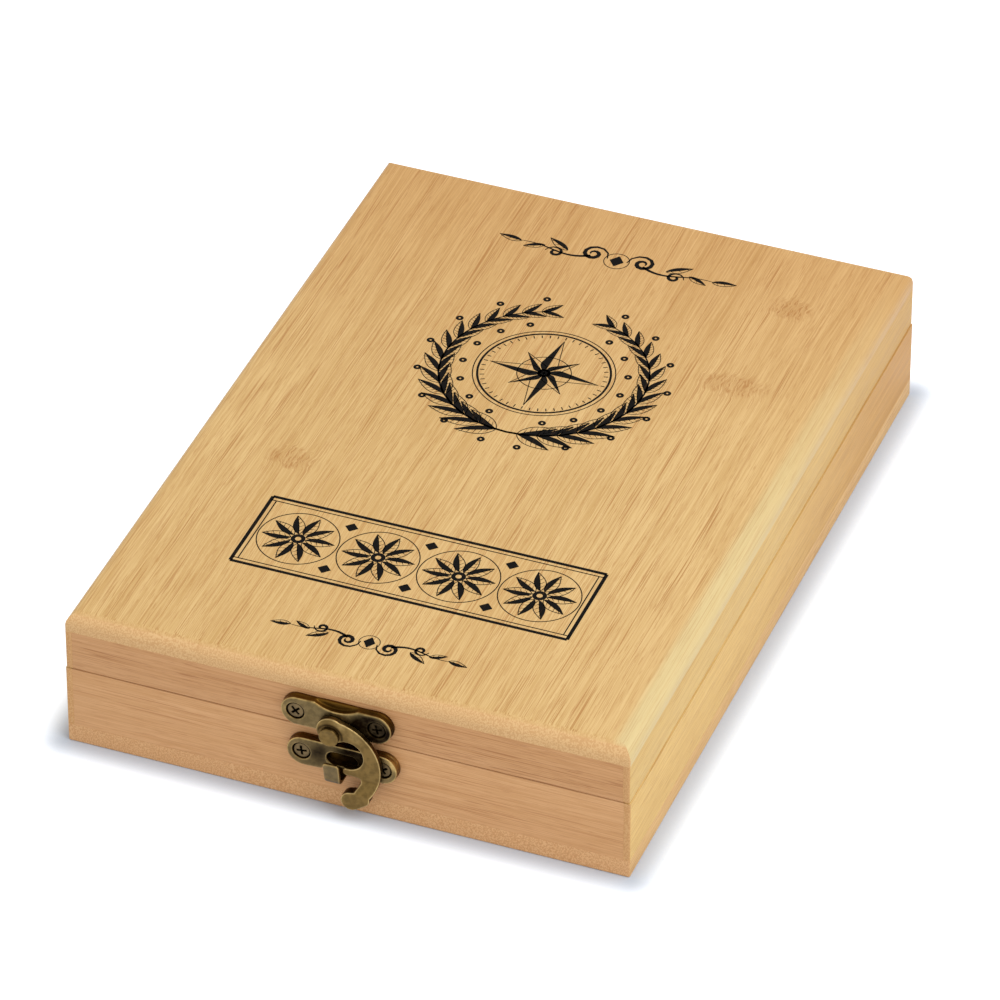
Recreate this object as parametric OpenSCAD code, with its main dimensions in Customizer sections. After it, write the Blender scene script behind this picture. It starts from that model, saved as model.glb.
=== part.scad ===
// Flat hinged bamboo box with a horn-shaped swing latch, in millimetres.
// +Z is up, the front with the latch faces -Y, and the origin is the centre of the underside.

/* [Box] */
// Width of the base, side to side
box_w = 170; // [120:1:240]
// Depth of the box, front to back
box_d = 244; // [160:1:320]
// Height of the base with its floor panel
base_h = 26.2; // [25.5:0.1:70]
// Height of the lid with its top panel
lid_h = 18.8; // [18.2:0.1:50]
// Thickness of the floor panel and the top panel
panel_t = 6; // [3:0.1:7]
// Thickness of the front, back and side boards
board_t = 8; // [7.5:0.1:14]
// Thickness of the side boards' lips, which show on the front and the back
lip_t = 2; // [1:0.1:4]
// Radius of the rounded top edges of the lid
round_r = 4.2; // [1:0.1:5]
// Gap between the closed lid and the base
seam_gap = 0.2; // [0.1:0.05:0.5]
// How far each side of the lid stands in from the base's side
lid_inset = 0.3; // [0:0.05:1]

/* [Latch plates] */
// Length of a plate's foot
plate_l = 33.4; // [31:0.1:40]
// Height of a plate's foot
plate_h = 9.7; // [9:0.1:11]
// Thickness of a plate's foot
foot_t = 1; // [0.6:0.1:1.6]
// Total thickness of a plate
plate_t = 2.8; // [2:0.1:3.6]
// How far the raised body stands in from the foot's edge
body_inset = 0.15; // [0.05:0.05:0.6]
// Radius of the waist in a plate's outer long edge
waist_r = 12; // [9:0.5:16]
// Depth of the waist in the raised body
waist_depth = 1.9; // [0.5:0.1:2.4]
// Distance between a plate's two screws
screw_pitch = 24.4; // [22.5:0.1:25]
// Height of the upper plate's centre above the seam
latch_rise = 6.7; // [6:0.1:7]
// Sideways place of the upper plate's centre
latch_x = -1.5; // [-20:0.1:20]
// Depth of the keeper plate's centre below the seam
keeper_drop = 7.1; // [7:0.1:8]
// Sideways shift of the keeper plate from the upper plate
keeper_shift = 1.6; // [0:0.1:2.5]

/* [Hook] */
// Sideways place of the pivot from the upper plate's centre
pivot_dx = -1.1; // [-3:0.1:1]
// Drop of the pivot below the upper plate's centre
pivot_drop = 4.3; // [4:0.1:5]
// Radius of the plate's ear round the pivot
ear_r = 3.6; // [3:0.1:3.8]
// Thickness of the hook
hook_t = 1.7; // [1.2:0.1:2.2]
// Gap between the hook and the plates behind it
hook_gap = 0.25; // [0.15:0.05:0.5]
// Radius of the hook's eye
eye_r = 4.4; // [4:0.1:5]
// Radius of the hook's outer curve
horn_r = 14.9; // [14.5:0.1:15.5]
// Sideways reach from the pivot to the centre of the knob's toe
knob_reach = 6.5; // [6:0.1:6.8]
// Drop from the pivot to the centre of the knob's toe
knob_drop = 20.7; // [20.2:0.1:21.4]
// Radius of the knob's toe
knob_r = 3; // [2.7:0.1:3.2]
// Radius of the knob's heel
heel_r = 2.3; // [1.9:0.1:2.5]
// Length of the knob between the centres of its toe and its heel
knob_l = 3.7; // [3:0.1:4.4]
// Slope of the knob, up towards the horn
knob_slope = 24; // [18:1:34]
// How far the knob swells forward of the hook
knob_swell = 1.3; // [0.4:0.1:2]
// Height over which the horn swells forward to the knob
swell_rise = 4.6; // [3:0.1:5]
// Radius of the upper corners of the slot between the finger and the knob
slot_r = 1.2; // [0.9:0.1:1.5]
// Thickness of the finger
finger_t = 2.3; // [1.9:0.1:2.6]
// Radius of the hollow above the finger
hollow_r = 4.7; // [4.4:0.1:5]

/* [Rivet] */
// Radius of the rivet's shank
rivet_r = 1.5; // [1:0.05:1.8]
// Radius of the rivet's head
rivet_head_r = 2.95; // [2.4:0.05:3.4]
// Height of the rivet's head
rivet_head_t = 1.1; // [0.6:0.1:1.8]
// Running clearance of the hook on the rivet's shank
rivet_clear = 0.05; // [0.02:0.01:0.1]
// Gap between the hook's face and the rivet's head
rivet_lift = 0.1; // [0.1:0.05:0.3]

/* [Tongue] */
// Width of the keeper's tongue
tongue_w = 4.9; // [4:0.1:6]
// Thickness of the tongue
tongue_t = 1.1; // [0.8:0.1:1.6]
// Sideways clearance between the tongue and the resting hook
tongue_clear = 0.15; // [0.1:0.05:0.8]
// Lean of the tongue's lip from upright, forward at its top
tongue_lean = 10; // [0:1:20]

/* [Screws] */
// Radius of a latch screw's head
screw_head_r = 2.4; // [1.8:0.1:2.8]
// Radius of a latch screw's shank
screw_r = 1; // [0.7:0.1:1.2]
// How deep a latch screw goes into the board
screw_depth = 6.5; // [3:0.1:7]
// Height of a latch screw's tapered head
screw_head_t = 1.4; // [0.8:0.1:1.8]
// How far a latch screw's head sits below the plate's face
screw_sink = 0.25; // [0.1:0.05:0.5]
// Ring of space round a latch screw's head
screw_ring = 0.35; // [0.2:0.05:0.6]

/* [Hinges] */
// Length of a hinge
hinge_l = 20; // [16:0.5:40]
// Distance of each hinge's centre from the side of the box
hinge_inset = 33; // [22:1:38]
// Radius of a hinge's knuckles
knuckle_r = 1.8; // [1.5:0.05:2.4]
// Gap between the knuckles and the back of the box
knuckle_gap = 0.1; // [0.1:0.05:0.4]
// Side gap between neighbouring knuckles
knuckle_side_gap = 0.15; // [0.1:0.05:0.3]
// Radius of a hinge pin
pin_r = 0.8; // [0.5:0.05:1]
// Running clearance of the lid's knuckle on the pin
pin_clear = 0.05; // [0.02:0.01:0.1]
// Thickness of a hinge leaf
leaf_t = 0.9; // [0.6:0.1:1.2]
// Depth of a hinge leaf on the board's edge
leaf_depth = 6.8; // [5.5:0.1:7]
// Distance between a leaf's two screws
leaf_screw_pitch = 12; // [9:0.5:15]
// Radius of a hinge screw's head
leaf_screw_head_r = 1.6; // [1.2:0.05:1.8]
// Radius of a hinge screw's shank
leaf_screw_r = 0.75; // [0.5:0.05:0.9]
// Length of a hinge screw
leaf_screw_l = 6; // [4:0.5:8]

/* [Hidden] */
$fn = 64;

bamboo_top = [0.87, 0.70, 0.47];
bamboo_board = [0.79, 0.59, 0.42];
brass = [0.44, 0.38, 0.25];
brass_light = [0.60, 0.53, 0.35];

// How far a cutting shape runs past the face that it cuts
cut = 1;

// Levels of the seam and of the boards above and below it
seam_z = base_h + seam_gap / 2;
lid_z = base_h + seam_gap;
base_board_h = base_h - panel_t;
lid_board_h = lid_h - panel_t;
lid_w = box_w - 2 * lid_inset;

// Latch plates
plate_z = seam_z + latch_rise;
keeper_x = latch_x + keeper_shift;
keeper_z = seam_z - keeper_drop;
screw_hole_r = screw_head_r + screw_ring;
screw_top = plate_t - screw_sink;

// Cross recess of a screw, as shares of its head's radius, and how a plate's two stand turned
cross_width = 0.24;
cross_length = 1.15;
cross_turn = 25;
cross_swing = 15;

// Hook, measured from its pivot: its eye, horn, knob, slot, finger and the hollow above it
pivot_x = latch_x + pivot_dx;
pivot_z = plate_z - pivot_drop;
hook_y = plate_t + hook_gap;
hook_face = hook_y + hook_t;
bore_r = rivet_r + rivet_clear;
eye_at = [0.35, 1.6];
horn_step = 0.6;
horn_at = [0.25, eye_at[1] + eye_r - horn_step - horn_r];
knob_at = [knob_reach, -knob_drop];
heel_at = knob_at + knob_l * [cos(knob_slope), sin(knob_slope)];
notch_r = 0.4;
notch_at = knob_at + [notch_r, knob_r];
slot_lean = 1.2;
slot_rise = 3.8;
slot_at = notch_at + [slot_lean, slot_rise];
finger_r = finger_t / 2;
finger_lead = 3.3;
finger_dip = 0.1;
finger_at = slot_at + [-finger_lead, slot_r + finger_r + finger_dip];
hollow_lead = 0.4;
hollow_dip = 0.1;
hollow_at = finger_at + [hollow_lead, finger_r + hollow_r - hollow_dip];
rivet_back = foot_t / 2;
rivet_face = hook_face + rivet_lift + rivet_head_t;

// Tongue: a channel for the finger, open at both sides and at the top
tongue_right = pivot_x + knob_at[0] - knob_r - tongue_clear;
channel_front = hook_face + hook_gap;
channel_r = hook_t + 2 * hook_gap;
tongue_bend_y = channel_front - channel_r;
tongue_bend_z = pivot_z + finger_at[1] - finger_t;
tongue_rise = 1.7;
tongue_top = pivot_z + finger_at[1] + finger_r + tongue_rise;
tongue_left = tongue_right - tongue_w;
tongue_corner_r = 1;

// Pocket in the keeper's raised body, above the tongue and on to the right of it
body_h = plate_h - 2 * body_inset;
pocket_rim = 0.6;
pocket_side = 0.3;
pocket_run = 4.2;
pocket_low = keeper_z - body_h / 2 + waist_depth + pocket_rim;
pocket_h = 4.4;
pocket_l = tongue_w + pocket_side + pocket_run;

// Hinges
hinge_x = box_w / 2 - hinge_inset;
hinge_y = box_d / 2 + knuckle_gap + knuckle_r;
leaf_front = box_d / 2 - leaf_depth;
knuckle_l = (hinge_l - 2 * knuckle_side_gap) / 3;
leaf_screw_y = box_d / 2 - leaf_depth / 2;

// Raises a front-view outline, standing t thick from y0 in front of the box
module on_front(y0, t) {
    translate([0, -box_d / 2 - y0, 0])
        rotate([90, 0, 0])
            linear_extrude(t) children();
}

// A front or back board between the lips of the side boards
module cross_board(w, h, z, back) {
    y = back ? box_d / 2 - board_t : -box_d / 2;
    translate([-w / 2 + lip_t, y, z])
        cube([w - 2 * lip_t, board_t, h]);
}

// A side board over the full depth, rebated at both ends for the front and back boards
module side_board(w, h, z, side) {
    difference() {
        translate([side > 0 ? w / 2 - board_t : -w / 2, -box_d / 2, z])
            cube([board_t, box_d, h]);
        for (end = [-1, 1])
            translate([
                side > 0 ? w / 2 - board_t - cut : -w / 2 + lip_t,
                end > 0 ? box_d / 2 - board_t : -box_d / 2 - cut,
                z - cut
            ])
                cube([board_t - lip_t + cut, board_t + cut, h + 2 * cut]);
    }
}

// The two screw holes of a plate, from y0 in front of the box and t deep
module screw_pair(x, z, y0, t, r) {
    for (side = [-1, 1])
        translate([x + side * screw_pitch / 2, -box_d / 2 - y0, z])
            rotate([-90, 0, 0])
                cylinder(r = r, h = t);
}

// The bed of one hinge leaf in a board's edge, with its two screw holes
module leaf_bed(x, up) {
    z = up ? lid_z - cut : base_h - leaf_t;
    translate([x - hinge_l / 2, leaf_front, z])
        cube([hinge_l, leaf_depth + cut, leaf_t + cut]);
    for (side = [-1, 1])
        translate([x + side * leaf_screw_pitch / 2, leaf_screw_y, up ? lid_z : base_h])
            mirror([0, 0, up ? 0 : 1])
                cylinder(r = leaf_screw_r, h = leaf_screw_l);
}

module base_floor() {
    color(bamboo_board)
        translate([-box_w / 2, -box_d / 2, 0])
            cube([box_w, box_d, panel_t]);
}

module base_front() {
    color(bamboo_board)
        difference() {
            cross_board(box_w, base_board_h, panel_t, false);
            screw_pair(keeper_x, keeper_z, 0, screw_depth, screw_r);
        }
}

module base_back() {
    color(bamboo_board)
        difference() {
            cross_board(box_w, base_board_h, panel_t, true);
            for (side = [-1, 1])
                leaf_bed(side * hinge_x, false);
        }
}

module base_left() {
    color(bamboo_board) side_board(box_w, base_board_h, panel_t, -1);
}

module base_right() {
    color(bamboo_board) side_board(box_w, base_board_h, panel_t, 1);
}

// Section of the top panel: a slab whose two upper corners are rounded
module rounded_slab(w) {
    difference() {
        translate([-w / 2, 0])
            square([w, panel_t]);
        for (side = [-1, 1])
            translate([side * (w / 2 - round_r), panel_t - round_r])
                difference() {
                    translate([side > 0 ? 0 : -round_r - cut, 0])
                        square(round_r + cut);
                    circle(r = round_r);
                }
    }
}

// The two rounded sections cross, so the round-overs meet in mitres at the corners
module lid_top() {
    color(bamboo_top)
        translate([0, 0, lid_z + lid_board_h])
            intersection() {
                rotate([90, 0, 0])
                    linear_extrude(box_d, center = true) rounded_slab(lid_w);
                rotate([90, 0, 90])
                    linear_extrude(lid_w, center = true) rounded_slab(box_d);
            }
}

module lid_front() {
    color(bamboo_board)
        difference() {
            cross_board(lid_w, lid_board_h, lid_z, false);
            screw_pair(latch_x, plate_z, 0, screw_depth, screw_r);
        }
}

module lid_back() {
    color(bamboo_board)
        difference() {
            cross_board(lid_w, lid_board_h, lid_z, true);
            for (side = [-1, 1])
                leaf_bed(side * hinge_x, true);
        }
}

module lid_left() {
    color(bamboo_board) side_board(lid_w, lid_board_h, lid_z, -1);
}

module lid_right() {
    color(bamboo_board) side_board(lid_w, lid_board_h, lid_z, 1);
}

// A bar with round ends, l long and h high
module stadium(l, h) {
    square([l - h, h], center = true);
    for (side = [-1, 1])
        translate([side * (l - h) / 2, 0])
            circle(d = h);
}

// Raised body of a plate, with a waist in its outer edge; out is 1 for the upper plate
module plate_body(out) {
    difference() {
        stadium(plate_l - 2 * body_inset, body_h);
        translate([0, out * (body_h / 2 + waist_r - waist_depth)])
            circle(r = waist_r, $fn = 96);
    }
}

// A latch plate: its foot, its raised body and its two sunk screw holes
module plate(x, z, out) {
    difference() {
        union() {
            on_front(0, foot_t)
                translate([x, z]) stadium(plate_l, plate_h);
            on_front(foot_t, plate_t - foot_t)
                translate([x, z]) plate_body(out);
            children();
        }
        screw_pair(x, z, plate_t + cut, plate_t + 2 * cut, screw_r);
        screw_pair(x, z, plate_t + cut, cut + screw_sink + screw_head_t, screw_hole_r);
    }
}

// The upper plate carries the rivet in an ear that stands clear of the base
module latch_plate() {
    color(brass)
        difference() {
            plate(latch_x, plate_z, 1)
                on_front(rivet_back, plate_t - rivet_back)
                    translate([pivot_x, pivot_z]) circle(r = ear_r);
            on_front(-cut, plate_t + 2 * cut)
                translate([pivot_x, pivot_z]) circle(r = rivet_r);
        }
}

module latch_rivet() {
    color(brass_light)
        translate([pivot_x, -box_d / 2, pivot_z])
            rotate([90, 0, 0]) {
                translate([0, 0, rivet_back])
                    cylinder(r = rivet_r, h = rivet_face - rivet_back);
                translate([0, 0, rivet_face - rivet_head_t])
                    cylinder(r = rivet_head_r, h = rivet_head_t);
            }
}

// Carries a side-view outline, forward and up, from x0 to x1
module along_front(x0, x1) {
    translate([x1, -box_d / 2, 0])
        rotate([90, 0, -90])
            linear_extrude(x1 - x0) children();
}

// A bar with round ends of two sizes, from a to b
module tapered_bar(a, ra, b, rb) {
    run = b - a;
    slope = atan2(run[1], run[0]);
    side = acos((ra - rb) / norm(run));
    left = [cos(slope + side), sin(slope + side)];
    right = [cos(slope - side), sin(slope - side)];
    translate(a) circle(r = ra);
    translate(b) circle(r = rb);
    polygon([a + ra * right, b + rb * right, b + rb * left, a + ra * left]);
}

// Front view of the knob: a toe and a smaller heel, which slope up to the horn
module knob_outline() {
    tapered_bar(knob_at, knob_r, heel_at, heel_r);
}

// Front view of the slot: level under the finger, and narrow where the toe meets the horn
module slot_outline() {
    open_at = [finger_at[0], slot_at[1]];
    tapered_bar(slot_at, slot_r, open_at, slot_r);
    tapered_bar(slot_at, slot_r, notch_at, notch_r);
    tapered_bar(open_at, slot_r, notch_at, notch_r);
    polygon([slot_at, open_at, notch_at]);
}

// Front view of the horn: what the outer curve leaves of the wedge between eye and knob
module horn_outline() {
    intersection() {
        translate(horn_at)
            circle(r = horn_r, $fn = 128);
        polygon([
            eye_at,
            [eye_at[0], horn_at[1] + horn_r],
            [horn_at[0] + horn_r, horn_at[1] + horn_r],
            [horn_at[0] + horn_r, heel_at[1]],
            heel_at,
            knob_at,
            notch_at,
            slot_at,
            finger_at,
            hollow_at
        ]);
    }
}

module hook_outline() {
    difference() {
        union() {
            horn_outline();
            translate(eye_at) circle(r = eye_r);
            translate(finger_at) circle(r = finger_r);
            polygon([
                finger_at + [0, finger_r],
                finger_at - [0, finger_r],
                slot_at + [0, slot_r],
                hollow_at + [hollow_r, 0]
            ]);
        }
        translate(hollow_at) circle(r = hollow_r);
        slot_outline();
        circle(r = bore_r);
    }
    knob_outline();
}

// Side view of the hook: an even plate that swells forward between the slot and the knob
module hook_side() {
    swell_z = pivot_z + knob_at[1] + knob_r;
    low = pivot_z - 2 * knob_drop;
    high = pivot_z + 2 * eye_r + horn_r;
    polygon([
        [hook_y, low],
        [hook_face + knob_swell, low],
        [hook_face + knob_swell, swell_z],
        [hook_face, swell_z + swell_rise],
        [hook_face, high],
        [hook_y, high]
    ]);
}

module latch_hook() {
    color(brass_light)
        intersection() {
            on_front(hook_y, hook_t + knob_swell)
                translate([pivot_x, pivot_z]) hook_outline();
            along_front(pivot_x - 2 * horn_r, pivot_x + 2 * horn_r) hook_side();
        }
}

// A countersunk screw with a cross recess, its head up and its top at the origin
module screw(head_r, head_t, shank_r, length) {
    arm_w = head_r * cross_width;
    arm_l = head_r * cross_length;
    difference() {
        union() {
            translate([0, 0, -head_t])
                cylinder(r1 = shank_r, r2 = head_r, h = head_t);
            translate([0, 0, -length])
                cylinder(r = shank_r, h = length - head_t);
        }
        for (turn = [0, 90])
            rotate([0, 0, turn])
                translate([-arm_l / 2, -arm_w / 2, -head_t / 2])
                    cube([arm_l, arm_w, head_t]);
    }
}

module plate_screws(x, z) {
    for (side = [-1, 1])
        translate([x + side * screw_pitch / 2, -box_d / 2 - screw_top, z])
            rotate([90, 0, 0])
                rotate([0, 0, cross_turn - side * cross_swing])
                    screw(screw_head_r, screw_head_t, screw_r, screw_top + screw_depth);
}

module latch_screws() {
    color(brass_light) plate_screws(latch_x, plate_z);
}

// Side view of the tongue, forward and up: a root down from the plate's foot, a web, a bend
// and a lip that leans forward
module tongue_side() {
    outer_r = channel_r + tongue_t;
    translate([0, tongue_bend_z - outer_r])
        square([foot_t, pocket_low - tongue_bend_z + outer_r]);
    translate([tongue_bend_y, tongue_bend_z]) {
        difference() {
            circle(r = outer_r);
            circle(r = channel_r);
            translate([-2 * outer_r, -2 * outer_r])
                square([2 * outer_r, 4 * outer_r]);
            translate([-outer_r, 0])
                square([3 * outer_r, 2 * outer_r]);
        }
        translate([-tongue_bend_y, -outer_r])
            square([tongue_bend_y, tongue_t]);
    }
    lip_h = tongue_top - tongue_bend_z;
    lip_out = lip_h * tan(tongue_lean);
    translate([channel_front, tongue_bend_z])
        polygon([[0, 0], [tongue_t, 0], [tongue_t + lip_out, lip_h], [lip_out, lip_h]]);
}

// Front view of the tongue: a strip with rounded corners
module tongue_front() {
    low = tongue_bend_z - channel_r - tongue_t;
    high = tongue_top - low;
    translate([tongue_left + tongue_corner_r, low])
        square([tongue_w - 2 * tongue_corner_r, high]);
    translate([tongue_left, low + tongue_corner_r])
        square([tongue_w, high - 2 * tongue_corner_r]);
    for (x = [tongue_left + tongue_corner_r, tongue_right - tongue_corner_r])
        for (z = [low + tongue_corner_r, tongue_top - tongue_corner_r])
            translate([x, z]) circle(r = tongue_corner_r);
}

module tongue() {
    intersection() {
        along_front(tongue_left - cut, tongue_right + cut) tongue_side();
        on_front(0, channel_front + plate_h) tongue_front();
    }
}

// The keeper's pocket gives the finger's tip room behind the tongue's lip
module keeper_plate() {
    color(brass)
        union() {
            difference() {
                plate(keeper_x, keeper_z, -1);
                on_front(foot_t, plate_t - foot_t + cut)
                    translate([tongue_left - pocket_side + pocket_l / 2, pocket_low + pocket_h / 2])
                        stadium(pocket_l, pocket_h);
            }
            tongue();
        }
}

module keeper_screws() {
    color(brass_light) plate_screws(keeper_x, keeper_z);
}

// One knuckle of a hinge, numbered from the left
module knuckle(x, number) {
    translate([x - hinge_l / 2 + number * (knuckle_l + knuckle_side_gap), hinge_y, seam_z])
        rotate([0, 90, 0])
            cylinder(r = knuckle_r, h = knuckle_l);
}

// A leaf's plate runs on under its own knuckles and stops at the board's back elsewhere
module hinge_leaf(x, up, own, bore) {
    z = up ? lid_z : base_h - leaf_t;
    difference() {
        union() {
            translate([x - hinge_l / 2, leaf_front, z])
                cube([hinge_l, leaf_depth, leaf_t]);
            for (number = own) {
                translate([x - hinge_l / 2 + number * (knuckle_l + knuckle_side_gap), leaf_front, z])
                    cube([knuckle_l, hinge_y - leaf_front, leaf_t]);
                knuckle(x, number);
            }
        }
        translate([x - hinge_l / 2 - cut, hinge_y, seam_z])
            rotate([0, 90, 0])
                cylinder(r = bore, h = hinge_l + 2 * cut);
        for (side = [-1, 1])
            translate([x + side * leaf_screw_pitch / 2, leaf_screw_y, up ? lid_z : base_h])
                mirror([0, 0, up ? 1 : 0]) {
                    translate([0, 0, -leaf_t - cut])
                        cylinder(r = leaf_screw_r, h = leaf_t + 2 * cut);
                    translate([0, 0, -leaf_t])
                        cylinder(r1 = leaf_screw_r, r2 = leaf_screw_head_r, h = leaf_t);
                }
    }
}

module hinge_pin(x) {
    translate([x - hinge_l / 2, hinge_y, seam_z])
        rotate([0, 90, 0])
            cylinder(r = pin_r, h = hinge_l);
}

module leaf_screws(up) {
    for (hinge = [-1, 1])
        for (side = [-1, 1])
            translate([
                hinge * hinge_x + side * leaf_screw_pitch / 2,
                leaf_screw_y,
                up ? lid_z : base_h
            ])
                mirror([0, 0, up ? 1 : 0])
                    screw(leaf_screw_head_r, leaf_t, leaf_screw_r, leaf_screw_l);
}

module hinge_left_base_leaf() {
    color(brass) hinge_leaf(-hinge_x, false, [0, 2], pin_r);
}

module hinge_left_lid_leaf() {
    color(brass) hinge_leaf(-hinge_x, true, [1], pin_r + pin_clear);
}

module hinge_left_pin() {
    color(brass_light) hinge_pin(-hinge_x);
}

module hinge_right_base_leaf() {
    color(brass) hinge_leaf(hinge_x, false, [0, 2], pin_r);
}

module hinge_right_lid_leaf() {
    color(brass) hinge_leaf(hinge_x, true, [1], pin_r + pin_clear);
}

module hinge_right_pin() {
    color(brass_light) hinge_pin(hinge_x);
}

module hinge_base_screws() {
    color(brass_light) leaf_screws(false);
}

module hinge_lid_screws() {
    color(brass_light) leaf_screws(true);
}

base_floor();
base_front();
base_back();
base_left();
base_right();
lid_top();
lid_front();
lid_back();
lid_left();
lid_right();
hinge_left_base_leaf();
hinge_left_lid_leaf();
hinge_left_pin();
hinge_right_base_leaf();
hinge_right_lid_leaf();
hinge_right_pin();
hinge_base_screws();
hinge_lid_screws();
latch_plate();
latch_rivet();
latch_hook();
latch_screws();
keeper_plate();
keeper_screws();
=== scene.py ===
import math
import bpy
import numpy as np
from mathutils import Matrix, Vector


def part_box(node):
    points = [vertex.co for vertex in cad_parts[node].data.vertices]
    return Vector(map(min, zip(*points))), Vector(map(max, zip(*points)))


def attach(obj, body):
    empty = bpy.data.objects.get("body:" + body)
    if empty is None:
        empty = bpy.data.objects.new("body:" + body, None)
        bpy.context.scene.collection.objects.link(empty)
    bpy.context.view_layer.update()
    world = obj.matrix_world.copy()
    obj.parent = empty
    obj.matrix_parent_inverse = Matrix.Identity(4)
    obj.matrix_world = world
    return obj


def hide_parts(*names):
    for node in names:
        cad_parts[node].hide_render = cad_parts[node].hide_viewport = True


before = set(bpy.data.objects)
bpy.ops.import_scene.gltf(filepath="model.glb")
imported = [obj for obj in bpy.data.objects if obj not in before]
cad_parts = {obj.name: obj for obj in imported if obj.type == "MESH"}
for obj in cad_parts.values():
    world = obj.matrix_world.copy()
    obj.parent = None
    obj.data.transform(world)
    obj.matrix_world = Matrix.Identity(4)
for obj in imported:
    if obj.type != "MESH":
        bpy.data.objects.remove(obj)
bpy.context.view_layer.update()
mm = 0.001


# Colours as they are seen on screen, 0 to 255, turned to the linear values that a shader takes
def seen(red, green, blue):
    shown = np.array([red, green, blue]) / 255
    linear = np.where(shown <= 0.04045, shown / 12.92, ((shown + 0.055) / 1.055) ** 2.4)
    return (*linear.tolist(), 1.0)


# Small helpers for node trees: a value may be a number, a colour or another node's socket
def add(tree, kind, inputs=None, **fields):
    made = tree.nodes.new(kind)
    for name, value in fields.items():
        setattr(made, name, value)
    for key, value in (inputs or {}).items():
        if isinstance(value, bpy.types.NodeSocket):
            tree.links.new(value, made.inputs[key])
        else:
            made.inputs[key].default_value = value
    return made


def calc(tree, operation, first, second=0.0, third=0.0, clamp=False):
    made = add(tree, "ShaderNodeMath", {0: first, 1: second, 2: third}, operation=operation, use_clamp=clamp)
    return made.outputs[0]


def remap(tree, value, low, high, toLow=0.0, toHigh=1.0):
    made = add(tree, "ShaderNodeMapRange", {
        "Value": value, "From Min": low, "From Max": high, "To Min": toLow, "To Max": toHigh,
    }, interpolation_type="SMOOTHSTEP")
    return made.outputs[0]


def blendColour(tree, share, first, second):
    made = add(tree, "ShaderNodeMix", {0: share, 6: first, 7: second}, data_type="RGBA")
    return made.outputs[2]


def scaled(tree, vector, factor):
    made = add(tree, "ShaderNodeVectorMath", {0: vector, 1: factor}, operation="MULTIPLY")
    return made.outputs[0]


def spots(tree, vector, across, along, detail=2.0):
    # noise whose spots measure across by along, in metres, with their long way on Y
    stretched = scaled(tree, vector, (1 / across, 1 / along, 1 / across))
    made = add(tree, "ShaderNodeTexNoise", {"Vector": stretched, "Scale": 1.0, "Detail": detail})
    return made.outputs[0]


def newGroup(name, inputs, outputs):
    group = bpy.data.node_groups.new(name, "ShaderNodeTree")
    for label, (kind, value) in inputs.items():
        group.interface.new_socket(label, in_out="INPUT", socket_type=kind).default_value = value
    for label, kind in outputs.items():
        group.interface.new_socket(label, in_out="OUTPUT", socket_type=kind)
    given = group.nodes.new("NodeGroupInput").outputs
    result = group.nodes.new("NodeGroupOutput").inputs
    return group, given, result


def newMaterial(name):
    material = bpy.data.materials.new(name)
    material.use_nodes = True
    tree = material.node_tree
    tree.nodes.clear()
    shader = add(tree, "ShaderNodeBsdfPrincipled")
    output = add(tree, "ShaderNodeOutputMaterial")
    tree.links.new(shader.outputs[0], output.inputs[0])
    return material, tree, shader


floatSocket = "NodeSocketFloat"
colourSocket = "NodeSocketColor"
vectorSocket = "NodeSocketVector"


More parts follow.
